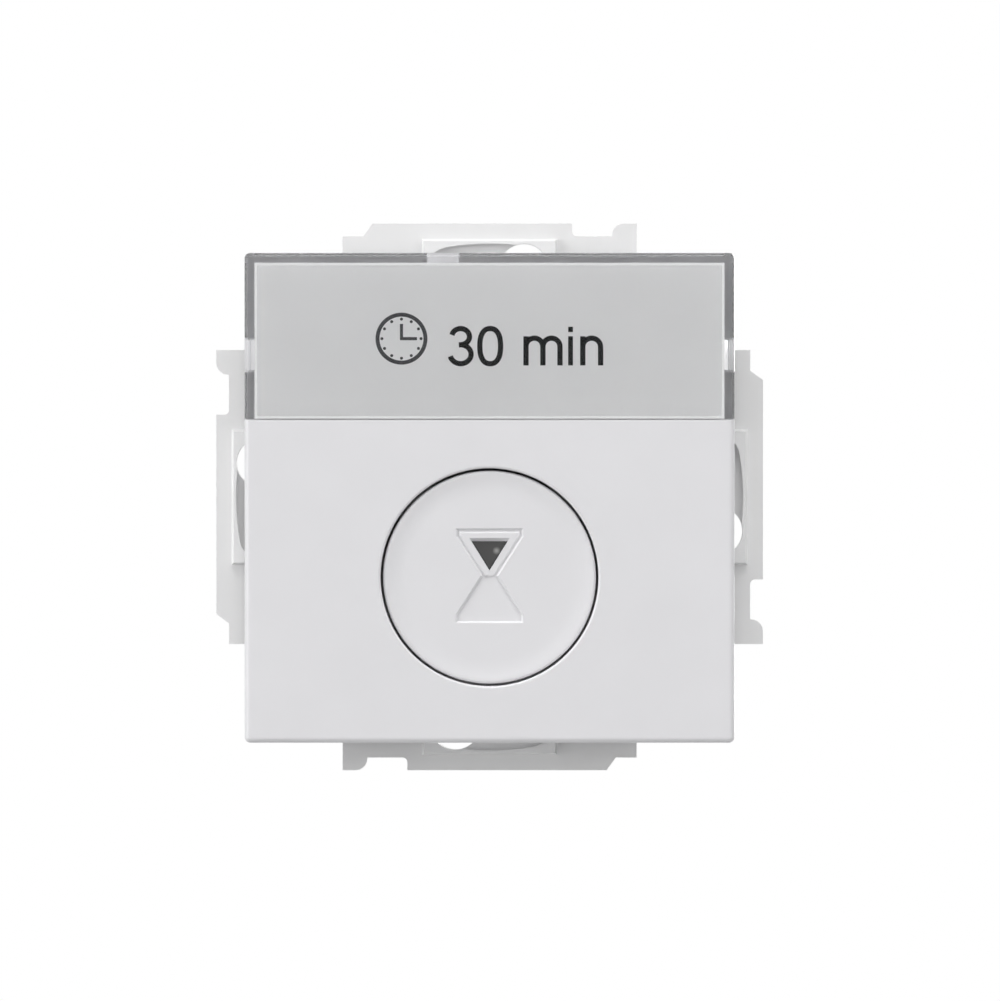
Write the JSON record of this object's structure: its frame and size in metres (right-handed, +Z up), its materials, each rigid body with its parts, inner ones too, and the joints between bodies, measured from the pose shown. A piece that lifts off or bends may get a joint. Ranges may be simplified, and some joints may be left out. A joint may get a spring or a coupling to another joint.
{
  "type": "timer light switch",
  "caption": "Flush-mounted timer light switch with a round push button, hourglass light and label window on a support ring with keyholes.",
  "frame": {"origin": "centre of the support ring's back face, which lies on the wall", "axes": "+Y goes into the wall, the front faces -Y, +Z is up and +X is to the right of someone facing it"},
  "size_m": [0.071, 0.0335, 0.071],
  "materials": {
    "white_plastic": "satin moulded white",
    "ring_plastic": "satin moulded white",
    "housing_plastic": "fine moulded texture",
    "clear_plastic": "clear, slightly smoked",
    "card": "matt printed card",
    "smoked_plastic": "dark smoked, polished",
    "steel": "zinc plated",
    "brass": "plain",
    "board": "green solder mask",
    "dark_plastic": "moulded black",
    "lamp": "tinted epoxy",
    "relay_plastic": "moulded blue",
    "film_plastic": "moulded yellow",
    "can": "sleeved can",
    "varistor_coat": "dipped epoxy",
    "fuse_plastic": "moulded brown",
    "resistor_coat": "lacquered",
    "terminal_plastic": "moulded grey"
  },
  "bodies": {
    "chassis": {"support_ring": "ring_plastic", "rear_housing": "housing_plastic", "housing_lid": "housing_plastic", "lid_screws": "steel", "front_cover": "white_plastic", "label_card": "card", "button_spring": "steel", "circuit_board": "board", "push_switch_body": "dark_plastic", "switch_cover": "steel", "indicator_led": "lamp", "microcontroller": "dark_plastic", "relay": "relay_plastic", "dropper_capacitor": "film_plastic", "smoothing_capacitor": "can", "varistor": "varistor_coat", "fuse": "fuse_plastic", "rectifier": "dark_plastic", "resistors": "resistor_coat", "terminal_blocks": "terminal_plastic", "terminal_cages": "brass", "terminal_screws": "steel"},
    "button": {"push_button": "white_plastic", "light_guide": "smoked_plastic"},
    "plunger": {"switch_plunger": "dark_plastic"},
    "window": {"label_window": "clear_plastic"}
  },
  "joints": [
    {"name": "button_press", "type": "slide", "parent": "chassis", "child": "button", "axis": [0, 1, 0], "range_m": [0, 0.0012], "stiffness_N_per_m": 500, "springref_m": -0.002, "deforming": ["button_spring"]},
    {"name": "plunger_press", "type": "slide", "parent": "chassis", "child": "plunger", "axis": [0, 1, 0], "range_m": [0, 0.0012]},
    {"name": "window_unclip", "type": "slide", "parent": "chassis", "child": "window", "axis": [0, -1, 0], "range_m": [0, 0.01]}
  ],
  "couplings": [
    {"joint": "plunger_press", "follows": "button_press", "ratio": 1}
  ]
}
